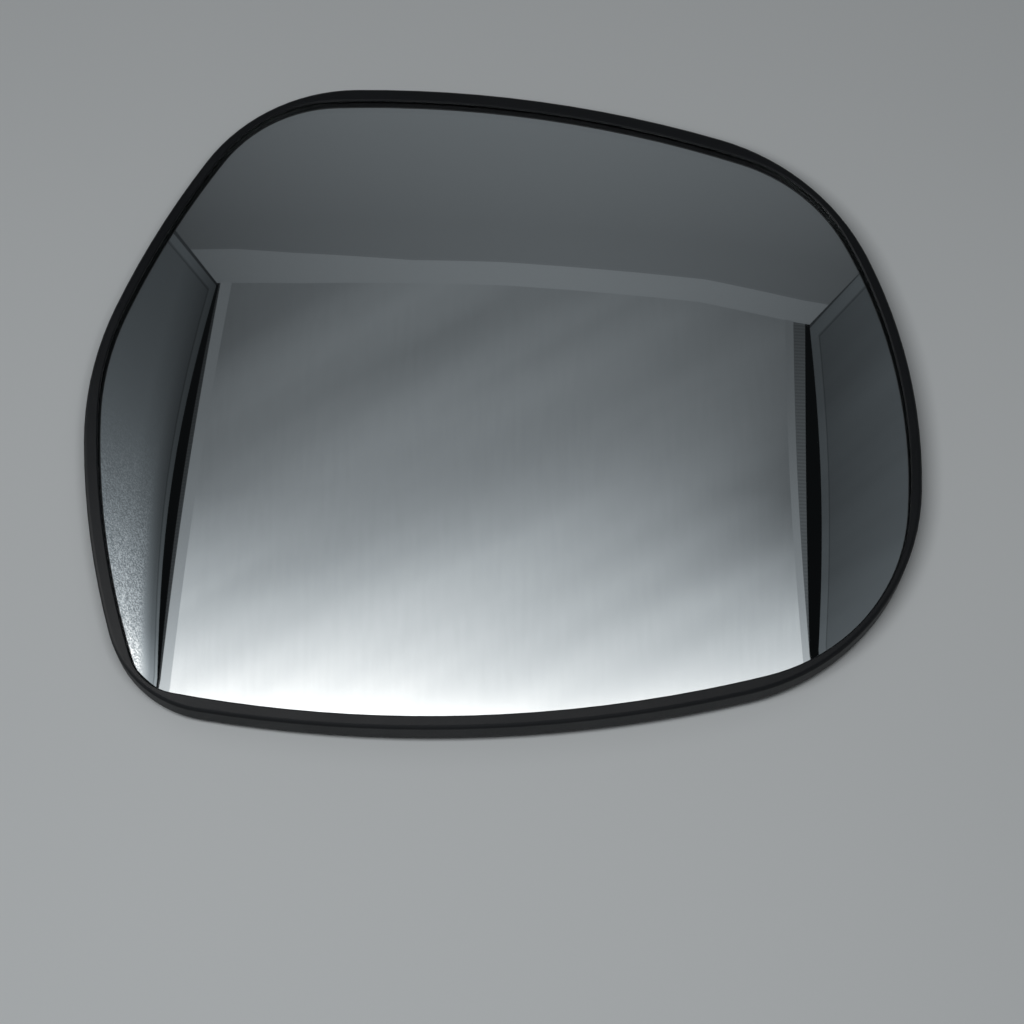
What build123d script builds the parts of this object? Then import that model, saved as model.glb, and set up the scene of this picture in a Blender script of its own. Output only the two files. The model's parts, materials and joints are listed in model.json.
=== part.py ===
from build123d import *
import os
from math import asin, cos, degrees, hypot, radians, sin, sqrt, tan

# Door mirror glass in its moulded holder, lying face up on the holder's hub.
# Millimetres. The hub's axis is Z and its end is at Z = 0; the mirror looks along +Z.

# Overall size of the rim seen from the face.
WIDTH = 194.5
HEIGHT = 160.2

# Where the rim's five bulged sides would meet, as shares of the overall size from the hub's axis,
# how far each corner is rounded, and the radius of the side that follows. Counter-clockwise from
# the bottom right.
BOTTOM_RIGHT_X = 0.465 * WIDTH
BOTTOM_RIGHT_Y = -0.368 * HEIGHT
BOTTOM_RIGHT_ROUND = 53.5
RIGHT_BULGE = 128.0
TOP_RIGHT_X = 0.388 * WIDTH
TOP_RIGHT_Y = 0.387 * HEIGHT
TOP_RIGHT_ROUND = 55.0
TOP_BULGE = 298.0
TOP_LEFT_X = -0.283 * WIDTH
TOP_LEFT_Y = 0.512 * HEIGHT
TOP_LEFT_ROUND = 42.5
UPPER_LEFT_BULGE = 218.0
LEFT_X = -0.488 * WIDTH
LEFT_Y = 0.062 * HEIGHT
LEFT_ROUND = 79.0
LOWER_LEFT_BULGE = 194.0
BOTTOM_LEFT_X = -0.422 * WIDTH
BOTTOM_LEFT_Y = -0.434 * HEIGHT
BOTTOM_LEFT_ROUND = 26.0
BOTTOM_BULGE = 299.0

# Layers, from the face backwards; their curved faces are spheres about one centre.
MIRROR_RADIUS = 1200.0
LIP_THICKNESS = 0.8
LIP_PLAY = 0.1
GLASS_THICKNESS = 2.0
PAD_THICKNESS = 0.8
PLATE_THICKNESS = 2.0
SKIRT_DEPTH = 1.2

# Rim section, measured inwards from the outline.
WALL = 1.4
WALL_LEAN = 4.0
EDGE_PLAY = 0.2
PAD_MARGIN = 2.5
LIP_WIDTH = 3.2
RIGHT_LIP_WIDTH = 2.5
UPPER_LEFT_LIP_WIDTH = 2.3
OPENING_TIGHTER = 10.5
CROWN_ROUND = 1.0
LIP_BEVEL = 0.3
GLASS_BEVEL = 0.3

# Hub on the back: fixed arcs and snap fingers in turn, round the socket for the adjuster.
HUB_HEIGHT = 9.0
SOCKET_RADIUS = 28.0
HUB_WALL = 2.0
FINGER_COUNT = 4
FINGER_WIDTH = 10.0
FINGER_SLOT = 2.0
FINGER_SHORTER = 0.5
BARB_REACH = 1.2
BARB_LEAD = 1.6
BARB_LAND = 0.6
WINDOW_PLAY = 0.6

# Stiffening ribs on the back.
RIB_COUNT = 12
RIB_THICKNESS = 1.2
RIB_HEIGHT = 3.0
RING_RIB_RADIUS = 58.0

CORNERS = (
    (BOTTOM_RIGHT_X, BOTTOM_RIGHT_Y, BOTTOM_RIGHT_ROUND, RIGHT_BULGE),
    (TOP_RIGHT_X, TOP_RIGHT_Y, TOP_RIGHT_ROUND, TOP_BULGE),
    (TOP_LEFT_X, TOP_LEFT_Y, TOP_LEFT_ROUND, UPPER_LEFT_BULGE),
    (LEFT_X, LEFT_Y, LEFT_ROUND, LOWER_LEFT_BULGE),
    (BOTTOM_LEFT_X, BOTTOM_LEFT_Y, BOTTOM_LEFT_ROUND, BOTTOM_BULGE),
)
LIPS = (RIGHT_LIP_WIDTH, LIP_WIDTH, UPPER_LEFT_LIP_WIDTH, LIP_WIDTH, LIP_WIDTH)
REACH = 1.1 * max(hypot(x, y) for x, y, _, _ in CORNERS)

CROWN = min(CROWN_ROUND, 0.65 * min(LIPS))
HUB_RADIUS = SOCKET_RADIUS + HUB_WALL
APEX_Z = HUB_HEIGHT + PLATE_THICKNESS + PAD_THICKNESS + GLASS_THICKNESS
CENTRE = Vector(0, 0, APEX_Z - MIRROR_RADIUS)

# Depths behind the mirror's face at which the layers meet.
LIP_TOP = -LIP_PLAY - LIP_THICKNESS
LIP_UNDERSIDE = -LIP_PLAY
GLASS_BACK = GLASS_THICKNESS
PAD_BACK = GLASS_BACK + PAD_THICKNESS
PLATE_BACK = PAD_BACK + PLATE_THICKNESS
SKIRT_END = PLATE_BACK + SKIRT_DEPTH


def after(items):
    """Each item paired with the next one round."""
    return zip(items, items[1:] + items[:1])


def sharp_outline(insets):
    """The rim's bulged sides in plan, each moved in by its own amount, with sharp corners."""
    face = Rectangle(4 * REACH, 4 * REACH)
    for (here, there), inset in zip(after(CORNERS), insets):
        side = RadiusArc(here[:2], there[:2], -here[3])
        seam_side = side.arc_center - side @ 0.5
        face &= Plane(side.arc_center, seam_side, (0, 0, 1)) * Circle(here[3] - inset)
    return face


def rounded(face, rounds):
    """A sharp outline with its corners rounded."""
    for (x, y, _, _), corner_round in zip(CORNERS, rounds):
        corner = face.vertices().sort_by_distance((x, y, 0))[0]
        face = fillet(corner, corner_round)
    return face


def outline(inset):
    """The rim's outline in plan, moved in."""
    face = sharp_outline([inset] * len(CORNERS))
    return rounded(face, [corner_round - inset for _, _, corner_round, _ in CORNERS])


def opening():
    """The lip's inner edge in plan.

    Its corners are rounded less than the rim's, which narrows the lip there, as far as the lip
    keeps room for the crown and the bevel.
    """
    rounds = []
    lips = after(LIPS[-1:] + LIPS[:-1])
    for pair, (_, _, corner_round, _), (axis, start, end) in zip(lips, CORNERS, rim_arcs()[::2]):
        turn = across(axis, start).get_angle(across(axis, end))
        room = (min(pair) - CROWN - 1.5 * LIP_BEVEL) / (1 / cos(radians(turn / 2)) - 1)
        rounds.append(corner_round - max(pair) - min(OPENING_TIGHTER, room))
    return rounded(sharp_outline(LIPS), rounds)


def ball(depth):
    """Everything inside the sphere that lies this far behind the mirror's face."""
    return Pos(CENTRE) * Rot(90, 0, 0) * Sphere(MIRROR_RADIUS - depth)


def layer(shape, top, bottom):
    """A sheet of the given plan between two depths."""
    column = extrude(Pos(0, 0, -APEX_Z) * shape, 3 * APEX_Z)
    return (column & ball(top)) - ball(bottom)


def left_of(a, b, from_a, from_b):
    """The direction at the given angles from a and from b, on the left of the way from a to b."""
    shared = a.dot(b)
    along_a = (cos(from_a) - shared * cos(from_b)) / (1 - shared**2)
    along_b = (cos(from_b) - shared * cos(from_a)) / (1 - shared**2)
    base = a * along_a + b * along_b
    return base + a.cross(b).normalized() * sqrt(1 - base.dot(base))


def across(axis, direction):
    """The part of a direction that is square to an axis."""
    return (direction - axis * axis.dot(direction)).normalized()


def rim_arcs():
    """Axis, start and end of each arc of the rim, as directions from the sphere's centre.

    Corners and sides are circles on the mirror's sphere, so each turns about an axis through
    its centre, and an arc that touches another shares the direction of the touching point.
    """
    aims = []
    for x, y, _, _ in CORNERS:
        aims.append(Vector(x, y, sqrt(MIRROR_RADIUS**2 - x**2 - y**2)).normalized())
    sides = []
    for (here, there), (_, _, _, bulge) in zip(after(aims), CORNERS):
        angle = asin(bulge / MIRROR_RADIUS)
        sides.append((left_of(here, there, angle, angle), angle))
    rounds = []
    for (before, side), (_, _, corner_round, _) in zip(after(sides[-1:] + sides[:-1]), CORNERS):
        angle = asin(corner_round / MIRROR_RADIUS)
        axis = left_of(before[0], side[0], before[1] - angle, side[1] - angle)
        ends = [to[0] * cos(to[1]) + across(to[0], axis) * sin(to[1]) for to in (before, side)]
        rounds.append((axis, *ends))
    arcs = []
    for (here, there), side in zip(after(rounds), sides):
        arcs.append(here)
        arcs.append((side[0], here[2], there[1]))
    return arcs


def rim_section():
    """Section of the rim before it is hollowed: x inwards, y out of the mirror's face."""
    depth = SKIRT_END - LIP_TOP
    width = 1.5 * max(LIPS)
    foot = (-depth * tan(radians(WALL_LEAN)), -SKIRT_END)
    face = make_face(Polyline(foot, (0, -LIP_TOP), (width, -LIP_TOP), (width, -SKIRT_END), close=True))
    crown = face.vertices().sort_by_distance((0, -LIP_TOP, 0))[0]
    return fillet(crown, CROWN)


def rim():
    """The rim's section turned along every corner and side."""
    section = rim_section()
    solid = Part()
    for axis, start, end in rim_arcs():
        inwards = across(start, axis)
        plane = Plane(CENTRE + start * MIRROR_RADIUS, inwards, inwards.cross(start))
        angle = across(axis, start).get_signed_angle(across(axis, end), axis)
        solid += revolve(plane * section, Axis(CENTRE, axis), angle)
    return solid


def shell():
    """Plate, skirt and wall, with the lip that holds the glass in its pocket."""
    solid = rim() + layer(outline(max(LIPS)), PAD_BACK, PLATE_BACK)
    solid -= layer(outline(WALL), PLATE_BACK, SKIRT_END + SKIRT_DEPTH)
    solid -= layer(outline(WALL), LIP_UNDERSIDE, PAD_BACK)
    solid -= layer(opening(), LIP_TOP - LIP_THICKNESS, 0)
    above_lip = MIRROR_RADIUS + LIP_PLAY + 0.75 * LIP_THICKNESS
    walls = solid.faces().filter_by(GeomType.CYLINDER)
    lip_edges = walls.edges().filter_by(lambda edge: (edge @ 0.5 - CENTRE).length > above_lip)
    return chamfer(lip_edges, LIP_BEVEL)


def sector(profile, middle, angle):
    """A section of radius and height, swept through an angle about the hub's axis."""
    face = Plane.XZ * make_face(Polyline(*profile, close=True))
    return revolve(Rot(0, 0, middle - angle / 2) * face, Axis.Z, angle)


def at_hub(width):
    """The angle that a width takes up on the hub's outside."""
    return degrees(width / HUB_RADIUS)


def hub():
    """Fixed arcs that end at Z = 0 and shorter snap fingers with barbs turned outwards."""
    pitch = 360 / FINGER_COUNT
    finger_angle = at_hub(FINGER_WIDTH)
    arc_angle = pitch - finger_angle - 2 * at_hub(FINGER_SLOT)
    arc_section = (
        (SOCKET_RADIUS, 0),
        (HUB_RADIUS, 0),
        (HUB_RADIUS, HUB_HEIGHT),
        (SOCKET_RADIUS, HUB_HEIGHT),
    )
    catch_z = FINGER_SHORTER + BARB_LEAD + BARB_LAND
    finger_section = (
        (SOCKET_RADIUS, FINGER_SHORTER),
        (HUB_RADIUS, FINGER_SHORTER),
        (HUB_RADIUS + BARB_REACH, FINGER_SHORTER + BARB_LEAD),
        (HUB_RADIUS + BARB_REACH, catch_z),
        (HUB_RADIUS, catch_z),
        (HUB_RADIUS, HUB_HEIGHT),
        (SOCKET_RADIUS, HUB_HEIGHT),
    )
    solid = Part()
    for n in range(FINGER_COUNT):
        solid += sector(arc_section, n * pitch, arc_angle)
        solid += sector(finger_section, (n + 0.5) * pitch, finger_angle)
    return solid


def windows():
    """Openings through the plate, from which the mould forms the undersides of the barbs."""
    far = HUB_RADIUS + BARB_REACH + WINDOW_PLAY
    section = ((HUB_RADIUS, 0), (far, 0), (far, APEX_Z), (HUB_RADIUS, APEX_Z))
    solid = Part()
    for n in range(FINGER_COUNT):
        solid += sector(section, (n + 0.5) * 360 / FINGER_COUNT, at_hub(FINGER_WIDTH))
    return solid


def ribs():
    """Radial ribs and one ring rib with level edges, which run out into the curved plate."""
    plan = Circle(RING_RIB_RADIUS + RIB_THICKNESS / 2) - Circle(RING_RIB_RADIUS - RIB_THICKNESS / 2)
    start = SOCKET_RADIUS + HUB_WALL / 2
    for n in range(RIB_COUNT):
        bar = Pos(start, 0) * Rectangle(REACH, RIB_THICKNESS, align=(Align.MIN, Align.CENTER))
        plan += Rot(0, 0, n * 360 / RIB_COUNT) * bar
    plan = Pos(0, 0, HUB_HEIGHT - RIB_HEIGHT) * (plan & outline(WALL / 2))
    return extrude(plan, APEX_Z) & ball(PLATE_BACK - PLATE_THICKNESS / 2)


glass = layer(outline(WALL + EDGE_PLAY), 0, GLASS_BACK)
glass = chamfer(glass.faces().filter_by(GeomType.SPHERE).edges(), GLASS_BEVEL)
pad = layer(outline(WALL + EDGE_PLAY + PAD_MARGIN), GLASS_BACK, PAD_BACK)
plate = shell() + ribs() - windows() + hub()

os.makedirs("parts", exist_ok=True)
export_step(glass, "parts/mirror_glass.step")
export_step(pad, "parts/adhesive_pad.step")
export_step(plate, "parts/backing_plate.step")
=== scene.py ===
import json
import math

import bmesh
import bpy
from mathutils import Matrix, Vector

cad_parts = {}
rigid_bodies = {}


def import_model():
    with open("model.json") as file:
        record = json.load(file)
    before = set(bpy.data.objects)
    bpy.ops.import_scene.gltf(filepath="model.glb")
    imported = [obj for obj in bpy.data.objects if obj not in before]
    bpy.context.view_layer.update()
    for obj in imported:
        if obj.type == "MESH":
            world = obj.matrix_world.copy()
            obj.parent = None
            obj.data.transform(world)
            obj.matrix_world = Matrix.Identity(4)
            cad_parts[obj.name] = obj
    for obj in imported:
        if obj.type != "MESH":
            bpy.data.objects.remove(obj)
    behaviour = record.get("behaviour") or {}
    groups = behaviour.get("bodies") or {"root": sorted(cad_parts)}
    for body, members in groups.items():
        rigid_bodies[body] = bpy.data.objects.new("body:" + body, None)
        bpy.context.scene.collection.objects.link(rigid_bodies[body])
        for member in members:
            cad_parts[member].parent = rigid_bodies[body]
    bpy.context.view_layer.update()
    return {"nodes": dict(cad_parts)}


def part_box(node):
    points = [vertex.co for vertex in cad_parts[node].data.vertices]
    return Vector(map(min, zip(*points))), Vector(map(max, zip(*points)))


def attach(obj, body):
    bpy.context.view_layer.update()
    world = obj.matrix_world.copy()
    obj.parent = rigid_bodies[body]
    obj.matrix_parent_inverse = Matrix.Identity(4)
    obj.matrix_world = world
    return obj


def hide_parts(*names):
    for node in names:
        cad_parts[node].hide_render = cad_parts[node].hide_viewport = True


for old in list(bpy.data.objects):
    bpy.data.objects.remove(old)

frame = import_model()
scene = bpy.context.scene

# The mirror's sphere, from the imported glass: its top is the sphere's highest point.
RADIUS = 1.2
FACE_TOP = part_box("mirror_glass")[1].z
CENTRE = Vector((0, 0, FACE_TOP - RADIUS))

# The sheet is 2 mm thick; here its coated back stays clear of the bonding sheet's facets.
GLASS = 0.0019
GROUND_EDGE = 0.0003
OUTLINE_POINTS = 360
FACE_RINGS = 48
CLEAR, COATED, GROUND = range(3)

# The floor is a square that reaches this far from the middle.
FLOOR_REACH = 9

# The light tent that the mirror reflects: its heights, its open front, the points of its back wall
# in plan from left to right, and where its side walls meet that wall.
TOP = 0.5
FOOT = 0.02
FRONT_Y = -0.40
BACK = [
    (-0.30, 0.290),
    (-0.17, 0.2815),
    (-0.119, 0.278),
    (0, 0.2735),
    (0.12, 0.2648),
    (0.176, 0.2545),
    (0.30, 0.240),
]
LEFT_CORNER = 0.2818
RIGHT_CORNER = 0.2530

# The tent's ceiling: hems just below it and tapes just above it, with open slits beside the tapes.
HEM_Z = TOP - 0.001
TAPE_Z = TOP + 0.001
SLIT_Z = TOP + 0.01
SLIT_REACH = 0.4
CEILING_HALF = 0.145
TAPE_RIB = 0.0022

# The tent's side walls: their sewn edges and the fold in their back corners, with how much paler or
# darker than the cloth each of these is. The darker seam and fold are painted shade.
RIGHT_HEM = 0.013
HEM_PALER = 0.25
SEAM = 0.0010
SEAM_DARKER = 0.35
CORNER_FOLD = 0.0022
FOLD_DARKER = 0.75

# The tent's light: where its ceiling is brightest, where its front is dim, and the brightness of its
# parts, to which some add a glow that rises towards the front.
BRIGHT_Y = 0.0
DIM_Y = -0.14
DIM_SHARE = 0.18
CEILING_GLOW = 0.94
LAMP_GLOW = 0.45
HEM_BASE = 0.10
HEM_GLOW = 0.85
BACK_HEM_GLOW = 0.058
BACK_MIDDLE_X = 0.02
BACK_FALL = 12.0
LEFT_BASE = 0.048
RIGHT_BASE = 0.043
RIGHT_GLOW = 0.032
OPENING_LEAN = -0.1
SLIT_BASE = 0.004
SLIT_GLOW = 0.002

# The tints of the tent's cloths, which fade to white as they get brighter.
CLOTH = (0.92, 1.005, 1.075)
SIDES = (0.89, 1.008, 1.10)
WHITE = (1, 1, 1)
TINT_FADE = 0.85

# The lamps' colour, and the light from all round.
LAMP_COLOUR = (0.98, 0.995, 1.0)
WORLD_COLOUR = (0.96, 0.985, 1.0, 1)
WORLD_STRENGTH = 0.035

# The photograph's view: from the front, steeply down. The lens is in millimetres.
TARGET = Vector((0.00436, -0.0243, 0.008))
ELEVATION = math.radians(70.5)
DISTANCE = 0.75
SENSOR_WIDTH = 36.0
FOCAL_LENGTH = 114.14
NEAREST = 0.01

# Most values of a noise pattern lie in this range.
NOISE = (0.3, 0.7)


class Nodes:
    """A material's node tree, with short calls to add and join nodes."""

    def __init__(self, name):
        self.material = bpy.data.materials.new(name)
        self.material.use_nodes = True
        self.tree = self.material.node_tree
        self.tree.nodes.clear()
        self.out = self.tree.nodes.new("ShaderNodeOutputMaterial")

    def add(self, kind, inputs=None, **settings):
        """A new node, each of whose inputs takes another node's output or a plain value."""
        node = self.tree.nodes.new(kind)
        for key, value in settings.items():
            setattr(node, key, value)
        for key, value in (inputs or {}).items():
            if isinstance(value, bpy.types.NodeSocket):
                self.tree.links.new(value, node.inputs[key])
            else:
                node.inputs[key].default_value = value
        return node

    def math(self, operation, a, b=0.0, c=0.0, clamp=False):
        """The result of one calculation."""
        inputs = {0: a, 1: b, 2: c}
        return self.add("ShaderNodeMath", inputs, operation=operation, use_clamp=clamp).outputs[0]

    def plus(self, first, *others):
        """All values added up."""
        for other in others:
            first = self.math("ADD", first, other)
        return first

    def minus(self, first, *others):
        """The first value less the others."""
        for other in others:
            first = self.math("SUBTRACT", first, other)
        return first

    def times(self, first, *others):
        """All values multiplied."""
        for other in others:
            first = self.math("MULTIPLY", first, other)
        return first

    def span(self, value, given, wanted, kind="LINEAR"):
        """A value carried over from one range to another and held at its ends."""
        inputs = {
            "Value": value,
            "From Min": given[0],
            "From Max": given[1],
            "To Min": wanted[0],
            "To Max": wanted[1],
        }
        return self.add("ShaderNodeMapRange", inputs, interpolation_type=kind).outputs["Result"]

    def place(self):
        """Where a point of the object is."""
        return self.add("ShaderNodeTexCoord").outputs["Object"]

    def squeezed(self, where, scale):
        """Coordinates for a pattern that is scaled along each axis."""
        return self.add("ShaderNodeMapping", {"Vector": where, "Scale": scale}).outputs[0]

    def drawn_out(self, where, turn, along, across):
        """Coordinates for a pattern that is drawn out along a direction in plan."""
        inputs = {"Vector": where, "Rotation": (0, 0, turn), "Scale": (along, across, 1.0)}
        return self.add("ShaderNodeMapping", inputs, vector_type="TEXTURE").outputs[0]

    def noise(self, where, scale, detail=3.0, rough=0.5):
        """A soft random pattern."""
        inputs = {"Vector": where, "Scale": scale, "Detail": detail, "Roughness": rough}
        return self.add("ShaderNodeTexNoise", inputs).outputs["Fac"]

    def mix(self, share, first, second):
        """A colour between two others."""
        # Sockets of this node share their names: 6 and 7 take the colours, and output 2 gives one.
        inputs = {0: share, 6: (*first, 1), 7: (*second, 1)}
        return self.add("ShaderNodeMix", inputs, data_type="RGBA").outputs[2]

    def bump(self, height, strength, distance):
        """A normal that a pattern roughens."""
        inputs = {"Height": height, "Strength": strength, "Distance": distance}
        return self.add("ShaderNodeBump", inputs).outputs[0]

    def surface(self, kind, inputs):
        """The finished material, with a shader of this kind."""
        shader = self.add(kind, inputs)
        self.tree.links.new(shader.outputs[0], self.out.inputs["Surface"])
        return self.material


def clear_glass():
    """The sheet's clear glass, with faint wipe marks."""
    n = Nodes("mirror_glass")
    wiped = n.drawn_out(n.place(), turn=0.5, along=1.0, across=0.12)
    marks = n.noise(wiped, scale=24.0, detail=4.0, rough=0.6)
    inputs = {
        "Base Color": (0.975, 0.99, 0.985, 1),
        "Roughness": n.span(marks, (0.45, 0.75), (0.001, 0.006)),
        "IOR": 1.52,
        "Transmission Weight": 1.0,
    }
    return n.surface("ShaderNodeBsdfPrincipled", inputs)


def silver_coat():
    """The reflective coat behind the glass, a little uneven in thickness."""
    n = Nodes("mirror_coat")
    uneven = n.noise(n.place(), scale=30.0)
    inputs = {
        "Base Color": n.mix(uneven, (0.79, 0.81, 0.82), (0.82, 0.84, 0.85)),
        "Metallic": 1.0,
        "Roughness": n.span(uneven, NOISE, (0.001, 0.004)),
    }
    return n.surface("ShaderNodeBsdfPrincipled", inputs)


def ground_edge():
    """The sheet's edge, ground matt, and painted dark as the shade under the lip."""
    n = Nodes("ground_edge")
    frost = n.noise(n.place(), scale=1500.0, rough=0.6)
    inputs = {
        # The edge's near-black colour is painted shade from the lip over it; the frost varies it.
        "Base Color": n.mix(frost, (0.014, 0.018, 0.017), (0.030, 0.036, 0.034)),
        "Roughness": 0.75,
        "Normal": n.bump(frost, strength=0.3, distance=0.00005),
    }
    return n.surface("ShaderNodeBsdfPrincipled", inputs)


def moulded_plastic():
    """Black plastic with the fine grain of its mould, rubbed smooth where it faces up, as on the lip."""
    n = Nodes("black_plastic")
    where = n.place()
    grain = n.noise(where, scale=2600.0, rough=0.6)
    flow = n.noise(where, scale=60.0, detail=4.0, rough=0.55)
    normal = n.add("ShaderNodeTexCoord").outputs["Normal"]
    facing_up = n.add("ShaderNodeSeparateXYZ", {0: normal}).outputs["Z"]
    rubbed = n.span(facing_up, (0.45, 0.92), (0.0, 1.0))
    uneven = n.plus(n.span(flow, NOISE, (-0.04, 0.04)), n.span(grain, NOISE, (-0.03, 0.05)))
    inputs = {
        "Base Color": n.mix(flow, (0.0042, 0.0046, 0.0055), (0.0066, 0.0072, 0.0084)),
        "Roughness": n.plus(n.span(rubbed, (0.0, 1.0), (0.58, 0.36)), uneven),
        "Specular IOR Level": n.span(rubbed, (0.0, 1.0), (0.25, 0.42)),
        "Normal": n.bump(grain, strength=0.22, distance=0.00006),
    }
    return n.surface("ShaderNodeBsdfPrincipled", inputs)


def bonding_foam():
    """Pale closed-cell foam, with painted shade in the hollow middle of each cell."""
    n = Nodes("adhesive_foam")
    cells = n.add("ShaderNodeTexVoronoi", {"Vector": n.place(), "Scale": 1600.0}, feature="F1")
    from_middle = cells.outputs["Distance"]
    inputs = {
        # Darker towards each cell's middle, where its hollow is: painted shade.
        "Base Color": n.mix(from_middle, (0.60, 0.60, 0.57), (0.76, 0.76, 0.73)),
        "Roughness": 0.85,
        "Normal": n.bump(from_middle, strength=0.5, distance=0.0002),
    }
    return n.surface("ShaderNodeBsdfPrincipled", inputs)


def floor_paper():
    """Pale matt paper."""
    n = Nodes("floor_paper")
    cloud = n.noise(n.place(), scale=3.0, detail=2.0)
    colour = n.mix(cloud, (0.735, 0.76, 0.775), (0.76, 0.785, 0.795))
    return n.surface("ShaderNodeBsdfDiffuse", {"Color": colour})


def hull(points):
    """The convex outline of points in plan, counter-clockwise."""
    points = sorted(set(points))
    halves = []
    for run in (points, points[::-1]):
        half = []
        for p in run:
            while len(half) > 1:
                (ax, ay), (bx, by) = half[-2:]
                turn = (bx - ax) * (p[1] - ay) - (by - ay) * (p[0] - ax)
                if turn > 0:
                    break
                half.pop()
            half.append(p)
        halves += half[:-1]
    return halves


def spaced(points, count):
    """The closed outline as a number of points at even steps."""
    ends = points[1:] + points[:1]
    lengths = [math.dist(a, b) for a, b in zip(points, ends)]
    step = sum(lengths) / count
    found = []
    travelled = 0.0
    for a, b, length in zip(points, ends, lengths):
        while len(found) * step < travelled + length and len(found) < count:
            share = (len(found) * step - travelled) / length
            found.append((a[0] + (b[0] - a[0]) * share, a[1] + (b[1] - a[1]) * share))
        travelled += length
    return found


def below_face(x, y, depth):
    """The point straight below the mirror's face by a depth, over a place in plan."""
    height = math.sqrt(RADIUS ** 2 - x * x - y * y)
    return Vector((x, y, CENTRE.z + height - depth))


def ring(mesh, outline, share, inset, depth):
    """A ring of points at a share of the way from the middle to the inset outline."""
    made = []
    for x, y in outline:
        away = math.hypot(x, y)
        scale = share * (away - inset) / away
        made.append(mesh.verts.new(below_face(x * scale, y * scale, depth)))
    return made


def skin(mesh, rings, material):
    """The faces from each ring to the next."""
    for inner, outer in zip(rings, rings[1:]):
        for k in range(len(inner)):
            face = mesh.faces.new((inner[k - 1], outer[k - 1], outer[k], inner[k]))
            face.material_index = material


def close(mesh, smallest, depth, material):
    """The faces from the smallest ring of a side to its middle."""
    middle = mesh.verts.new(below_face(0, 0, depth))
    for k in range(len(smallest)):
        face = mesh.faces.new((middle, smallest[k - 1], smallest[k]))
        face.material_index = material


def shade(mesh, sharp_rings):
    """Smooth faces, apart from sharp rings."""
    for face in mesh.faces:
        face.smooth = True
    for sharp in sharp_rings:
        for k in range(len(sharp)):
            mesh.edges.get((sharp[k - 1], sharp[k])).smooth = False


def mirror_glass():
    """The sheet of glass as one closed mesh of rings, from the middle of its face round to its back."""
    packed = frame["nodes"]["mirror_glass"].data.vertices
    outline = spaced(hull([(round(v.co.x, 6), round(v.co.y, 6)) for v in packed]), OUTLINE_POINTS)
    shares = [k / FACE_RINGS for k in range(1, FACE_RINGS + 1)]
    mesh = bmesh.new()
    front = [ring(mesh, outline, share, GROUND_EDGE, 0) for share in shares]
    wall = [ring(mesh, outline, 1, 0, depth) for depth in (GROUND_EDGE, GLASS - GROUND_EDGE)]
    back = [ring(mesh, outline, share, GROUND_EDGE, GLASS) for share in reversed(shares)]
    edge = [front[-1], *wall, back[0]]
    skin(mesh, front, CLEAR)
    skin(mesh, back, COATED)
    skin(mesh, edge, GROUND)
    close(mesh, front[0], 0, CLEAR)
    close(mesh, back[-1][::-1], GLASS, COATED)
    shade(mesh, edge)
    data = bpy.data.meshes.new("glass_sheet")
    mesh.to_mesh(data)
    mesh.free()
    for material in (clear_glass(), silver_coat(), ground_edge()):
        data.materials.append(material)
    return bpy.data.objects.new("glass_sheet", data)


def card(name, side, other_side, material):
    """A card of the stage between two lines that have as many points each."""
    data = bpy.data.meshes.new(name)
    count = len(side)
    faces = [(k, k + 1, k + 1 + count, k + count) for k in range(count - 1)]
    data.from_pydata([*side, *other_side], [], faces)
    data.materials.append(material)
    made = bpy.data.objects.new(name, data)
    scene.collection.objects.link(made)
    return made


def square(reach, z):
    """The front and back sides of a level square round the Z axis."""
    return [(-reach, -reach, z), (reach, -reach, z)], [(-reach, reach, z), (reach, reach, z)]


def bowed(back, front, swell, steps=16):
    """A line in plan from the back to the front, drawn aside in the middle, and on to the open front."""
    line = []
    for k in range(steps + 1):
        place = Vector(back).lerp(Vector(front), k / steps)
        line.append(place + Vector((swell * math.sin(math.pi * k / steps), 0)))
    return [*line, Vector((front[0], FRONT_Y))]


def at(line, z, first_shift=0.0, last_shift=0.0):
    """A plan line at a height, moved sideways by a shift that changes evenly along it."""
    last = len(line) - 1
    lifted = []
    for k, place in enumerate(line):
        shift = first_shift + (last_shift - first_shift) * k / last
        lifted.append(Vector((place[0] + shift, place[1], z)))
    return lifted


def glow(name, brightness, tint):
    """A card's material: brightness(nodes, x, y, z) at each place, and a tint that bright places lose."""
    n = Nodes(name)
    split = n.add("ShaderNodeSeparateXYZ", {0: n.place()})
    strength = brightness(n, *split.outputs)
    fade = n.math("MULTIPLY", strength, TINT_FADE, clamp=True)
    n.material.cycles.emission_sampling = "NONE"
    return n.surface("ShaderNodeEmission", {"Color": n.mix(fade, tint, WHITE), "Strength": strength})


def tent_glow_card(name, side, other_side, brightness, tint):
    """A glowing card painted with the tent cloth's light, which only shows in what the mirror and the rim
    reflect.
    """
    made = card(name, side, other_side, glow(name, brightness, tint))
    made.visible_camera = False
    made.visible_diffuse = False
    made.visible_shadow = False


def rise(n, along, start, fold, most):
    """An exponential rise towards smaller values of a coordinate, held at a limit."""
    steps = n.math("DIVIDE", n.minus(start, along), fold)
    return n.math("EXPONENT", n.math("MINIMUM", steps, most))


def towards_front(n, y):
    """The tent's soft fall in brightness towards its front."""
    return n.span(y, (DIM_Y, BRIGHT_Y), (DIM_SHARE, 1.0), "SMOOTHSTEP")


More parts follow.
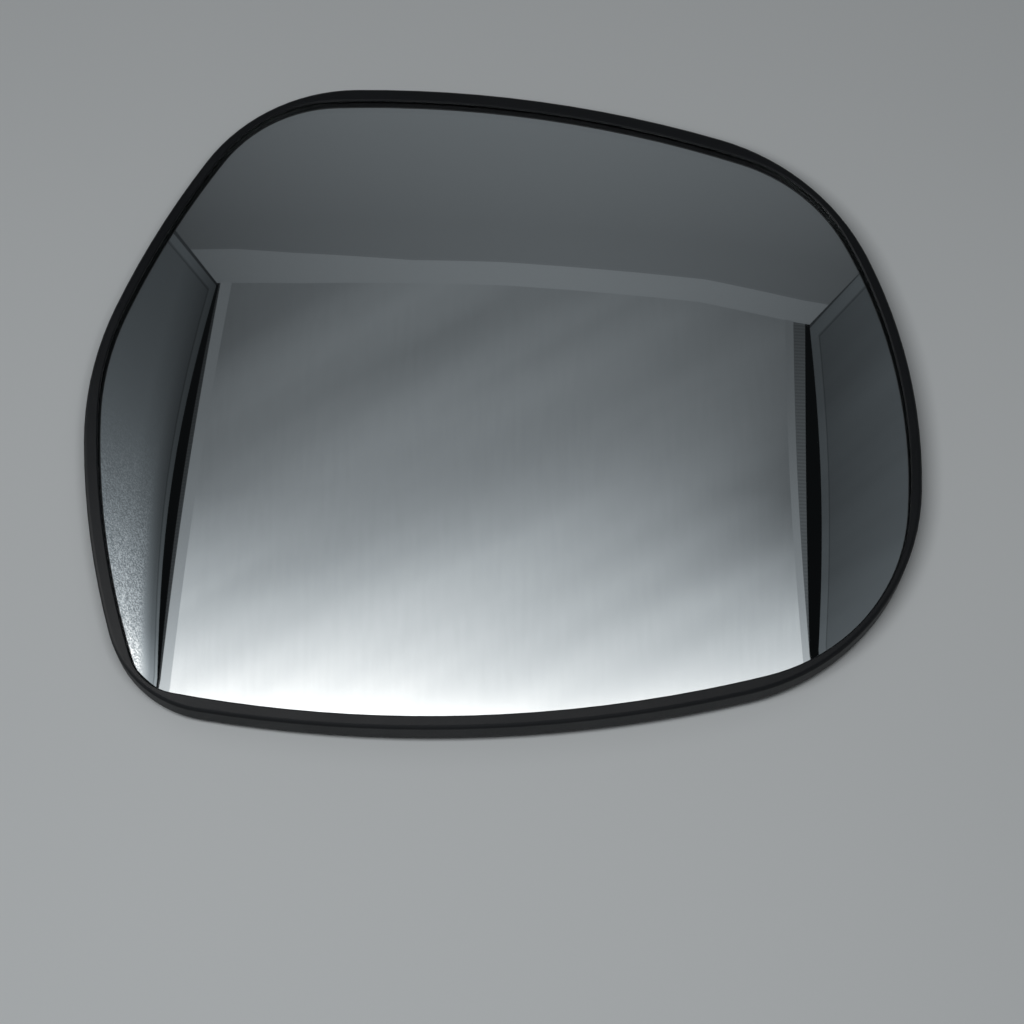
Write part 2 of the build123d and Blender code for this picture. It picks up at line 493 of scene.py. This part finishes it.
def ceiling_light(n, x, y, z):
    """Brightest in front, darker to the sides at the back, with soft folds and a fine weave."""
    slanting = n.drawn_out(n.place(), turn=0.56, along=0.5, across=0.07)
    folds = n.span(n.noise(slanting, scale=1.3, detail=2.0, rough=0.45), NOISE, (0.86, 1.18))
    lengthwise = n.drawn_out(n.place(), turn=0.0, along=0.02, across=0.2)
    weave = n.span(n.noise(lengthwise, scale=6.0, detail=2.0, rough=0.6), NOISE, (0.98, 1.02))
    wide = n.times(rise(n, y, start=BRIGHT_Y, fold=0.079, most=0.0), CEILING_GLOW)
    narrow = n.times(rise(n, y, start=BRIGHT_Y, fold=0.012, most=0.1), LAMP_GLOW)
    base = n.plus(wide, n.span(y, (0.12, 0.28), (0.134, 0.12)), narrow)
    aside = n.math("DIVIDE", x, CEILING_HALF)
    fall = n.times(aside, aside, n.span(y, (0.07, 0.14), (-0.03, 0.33)))
    lean = n.minus(n.span(y, (0.02, 0.10), (0.09, 0.205)), n.span(y, (0.11, 0.25), (0.0, 0.25)))
    even = n.minus(1.0, fall, n.times(aside, lean))
    return n.times(base, towards_front(n, y), even, folds, weave)


def border_light(n, x, y, z):
    """The ceiling's hems, the right one darker."""
    cloth = n.plus(n.times(rise(n, y, start=BRIGHT_Y, fold=0.065, most=0.0), HEM_GLOW), HEM_BASE)
    return n.times(cloth, towards_front(n, y), n.span(x, (-0.15, 0.15), (1.0, 0.82)))


def tape_light(n, x, y, z):
    """The ribbed tapes beside the ceiling, the left one darker."""
    wave = n.math("SINE", n.times(y, 2 * math.pi / TAPE_RIB))
    ribs = n.span(wave, (-1.0, 1.0), (0.85, 1.15))
    return n.times(n.span(y, (0.08, 0.25), (0.10, 0.045)), ribs, n.span(x, (-0.1, 0.1), (0.45, 1.0)))


def back_light(n, x, y, z):
    """The back wall, with a lighter hem along its top that hangs lower on the left."""
    hem_foot = n.span(x, (-0.15, -0.05), (0.453, 0.468))
    lighter = n.times(n.math("GREATER_THAN", z, hem_foot), BACK_HEM_GLOW)
    wall = n.plus(n.span(z, (0.30, 0.42), (0.152, 0.118)), lighter)
    aside = n.minus(x, BACK_MIDDLE_X)
    return n.times(wall, n.minus(1.0, n.times(aside, aside, BACK_FALL)))


def hem(n, y, z, corner, width):
    """A wall's sewn back and top edges: a paler strip, painted shade at the seam and in the corner's
    fold.
    """
    depth = n.math("MINIMUM", n.minus(corner, y), n.minus(TOP, z))
    strip = n.times(n.math("LESS_THAN", depth, width), HEM_PALER)
    # Painted shade along the seam beside the paler strip.
    seam = n.times(n.math("COMPARE", depth, width, SEAM), SEAM_DARKER)
    # Painted shade in the fold of the back corner.
    fold = n.times(n.math("GREATER_THAN", y, corner - CORNER_FOLD), FOLD_DARKER)
    return n.minus(n.plus(1.0, strip), seam, fold)


def left_light(n, x, y, z):
    """The left wall, of a cloth that is grained and glitters in front, except along its top."""
    upright = n.squeezed(n.place(), (1.0, 1.0, 0.42))
    specks = n.span(n.noise(upright, scale=1150.0, detail=2.0, rough=0.6), (0.40, 0.68), (-0.22, 0.62))
    above_foot = n.span(z, (0.30, 0.38), (0.0, 1.0))
    below_top = n.span(z, (0.472, 0.482), (1.0, 0.0))
    grained = n.times(above_foot, below_top, n.span(y, (0.09, 0.17), (1.0, 0.1)))
    glitter = n.plus(n.times(grained, specks), n.span(z, (0.26, 0.36), (0.35, 0.53)))
    glitter = n.times(glitter, n.span(y, (0.02, 0.055), (1.75, 1.0)))
    front = n.times(rise(n, y, start=0.05, fold=0.047, most=0.9), glitter, towards_front(n, y))
    front = n.times(front, n.span(z, (0.474, 0.490), (1.0, 0.42)))
    cloth = n.times(n.plus(front, LEFT_BASE), n.span(z, (0.45, 0.50), (1.0, 0.50)))
    return n.times(cloth, hem(n, y, z, LEFT_CORNER, n.span(y, (0.05, 0.25), (0.004, 0.009))))


def right_light(n, x, y, z):
    """The right wall, with soft folds."""
    folded = n.drawn_out(n.place(), turn=0.0, along=0.4, across=0.05)
    folds = n.span(n.noise(folded, scale=1.5, detail=2.0), NOISE, (0.88, 1.12))
    front = n.plus(n.times(rise(n, y, start=0.07, fold=0.060, most=0.9), RIGHT_GLOW), RIGHT_BASE)
    cloth = n.plus(front, n.span(z, (0.30, 0.50), (0.03, -0.004)))
    return n.times(cloth, folds, hem(n, y, z, RIGHT_CORNER, RIGHT_HEM))


def front_light(n, x, y, z):
    """The open front, brighter above and a little brighter on the left."""
    return n.plus(n.span(z, (FOOT, TOP), (0.25, 0.60)), n.times(x, OPENING_LEAN))


def dark(n, x, y, z):
    """What shows through the slits."""
    return n.plus(n.times(y, SLIT_GLOW), SLIT_BASE)


def soft_lamp(name, width, depth, power, place):
    """A soft lamp that shines straight down and isn't seen itself."""
    lamp = bpy.data.lights.new(name, "AREA")
    lamp.shape = "RECTANGLE"
    lamp.size = width
    lamp.size_y = depth
    lamp.energy = power
    lamp.color = LAMP_COLOUR
    made = bpy.data.objects.new(name, lamp)
    scene.collection.objects.link(made)
    made.location = place
    made.visible_camera = False
    made.visible_glossy = False
    made.visible_transmission = False


# The part.
glass = mirror_glass()
scene.collection.objects.link(glass)
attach(glass, "root")
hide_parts("mirror_glass")

for node, material in (("backing_plate", moulded_plastic()), ("adhesive_pad", bonding_foam())):
    data = frame["nodes"][node].data
    data.materials.clear()
    data.materials.append(material)

card("floor", *square(FLOOR_REACH, 0), floor_paper())

# The tent: plan lines along its ceiling from the back to the front, then its glowing cards of painted
# light.
ceiling_left = bowed((-0.167, 0.288), (-0.1935, 0.010), swell=-0.001)
ceiling_right = bowed((0.177, 0.268), (0.179, 0.010), swell=-0.004)
wall_left = bowed((-0.169, 0.288), (-0.194, 0.010), swell=-0.009)
wall_right = bowed((0.186, 0.268), (0.180, 0.010), swell=0.005)
tape_left = bowed((-0.1683, 0.288), (-0.1945, 0.010), swell=-0.003)
tape_right = bowed((0.1848, 0.268), (0.1775, 0.010), swell=-0.002)
hem_left = at(ceiling_left, HEM_Z, first_shift=0.007, last_shift=0.006)
hem_right = at(ceiling_right, HEM_Z, first_shift=-0.005, last_shift=-0.004)
foot_left = at(wall_left, FOOT, first_shift=-0.07, last_shift=-0.09)
foot_right = at(wall_right, FOOT, first_shift=0.075, last_shift=0.05)
opening = [ceiling_left[-1], ceiling_right[-1]]

tent_glow_card("tent_top", at(ceiling_left, TOP), at(ceiling_right, TOP), ceiling_light, CLOTH)
tent_glow_card("tent_hem_left", at(ceiling_left, HEM_Z), hem_left, border_light, CLOTH)
tent_glow_card("tent_hem_right", at(ceiling_right, HEM_Z), hem_right, border_light, CLOTH)
tent_glow_card("tent_tape_left", at(ceiling_left, TAPE_Z), at(tape_left, TAPE_Z), tape_light, CLOTH)
tent_glow_card("tent_tape_right", at(ceiling_right, TAPE_Z), at(tape_right, TAPE_Z), tape_light, CLOTH)
tent_glow_card("tent_left", at(wall_left, TOP), foot_left, left_light, SIDES)
tent_glow_card("tent_right", at(wall_right, TOP), foot_right, right_light, SIDES)
tent_glow_card("tent_back", at(BACK, TOP), at(BACK, FOOT), back_light, CLOTH)
tent_glow_card("tent_front", at(opening, TOP), at(opening, FOOT), front_light, CLOTH)
tent_glow_card("tent_slits", *square(SLIT_REACH, SLIT_Z), dark, SIDES)

# Soft light from above: the tent's strip of lamps, and an even light over the whole floor.
soft_lamp("softbox", width=0.4, depth=0.1, power=1.51, place=(-0.08, -0.17, 0.6))
soft_lamp("overhead", width=6.0, depth=6.0, power=24.0, place=(0, 0, 5))

world = bpy.data.worlds.new("studio")
scene.world = world
world.use_nodes = True
background = world.node_tree.nodes["Background"]
background.inputs["Color"].default_value = WORLD_COLOUR
background.inputs["Strength"].default_value = WORLD_STRENGTH

# The camera.
lens = bpy.data.cameras.new("camera")
lens.sensor_width = SENSOR_WIDTH
lens.lens = FOCAL_LENGTH
lens.clip_start = NEAREST
camera = bpy.data.objects.new("camera", lens)
scene.collection.objects.link(camera)
camera.location = TARGET + DISTANCE * Vector((0, -math.cos(ELEVATION), math.sin(ELEVATION)))
camera.rotation_euler = (math.pi / 2 - ELEVATION, 0, 0)
scene.camera = camera

scene.view_settings.view_transform = "Standard"
scene.view_settings.look = "None"
